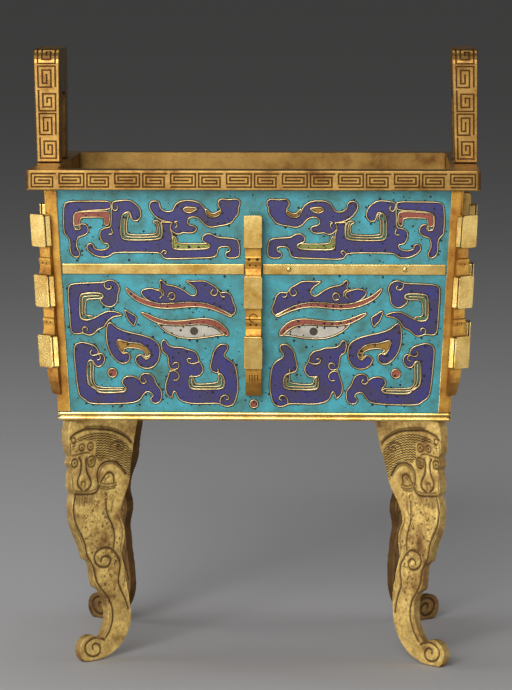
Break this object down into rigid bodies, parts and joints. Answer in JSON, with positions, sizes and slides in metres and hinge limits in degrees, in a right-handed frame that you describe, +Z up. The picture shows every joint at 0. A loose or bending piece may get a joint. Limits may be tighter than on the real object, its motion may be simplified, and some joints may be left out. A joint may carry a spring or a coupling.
{
  "type": "incense burner",
  "caption": "Square gilt-metal and cloisonne enamel incense burner: hollow tapering bowl with flat fret rim, upright loop handles, notched flanges and flat beast-head scroll legs.",
  "frame": {"origin": "on the ground, at the middle of the object seen from above", "axes": "+Z up, +X to the viewer's right along the long side, the front with the pictured face towards -Y"},
  "size_m": [0.1538, 0.1186, 0.2098],
  "materials": {
    "cloisonne_enamel": "polished turquoise, blue and red enamel between gilt wires on a copper wall",
    "engraved_gilt": "worn mercury gilding over engraved cast metal, dark in the grooves",
    "bright_gilt": "burnished gilding, bright on the raised faces and brown in the hollows"
  },
  "bodies": {
    "root": {"vessel_body": "cloisonne_enamel", "rim": "engraved_gilt", "handle_left": "engraved_gilt", "handle_right": "engraved_gilt", "centre_flange_front": "bright_gilt", "centre_flange_right": "bright_gilt", "centre_flange_back": "bright_gilt", "centre_flange_left": "bright_gilt", "corner_flange_front_left": "bright_gilt", "corner_flange_front_right": "bright_gilt", "corner_flange_back_left": "bright_gilt", "corner_flange_back_right": "bright_gilt", "belt_front_left": "bright_gilt", "belt_front_right": "bright_gilt", "belt_back_left": "bright_gilt", "belt_back_right": "bright_gilt", "belt_left_front": "bright_gilt", "belt_left_back": "bright_gilt", "belt_right_front": "bright_gilt", "belt_right_back": "bright_gilt", "base_moulding": "bright_gilt", "leg_front_left": "engraved_gilt", "leg_front_right": "engraved_gilt", "leg_back_left": "engraved_gilt", "leg_back_right": "engraved_gilt"}
  },
  "joints": []
}
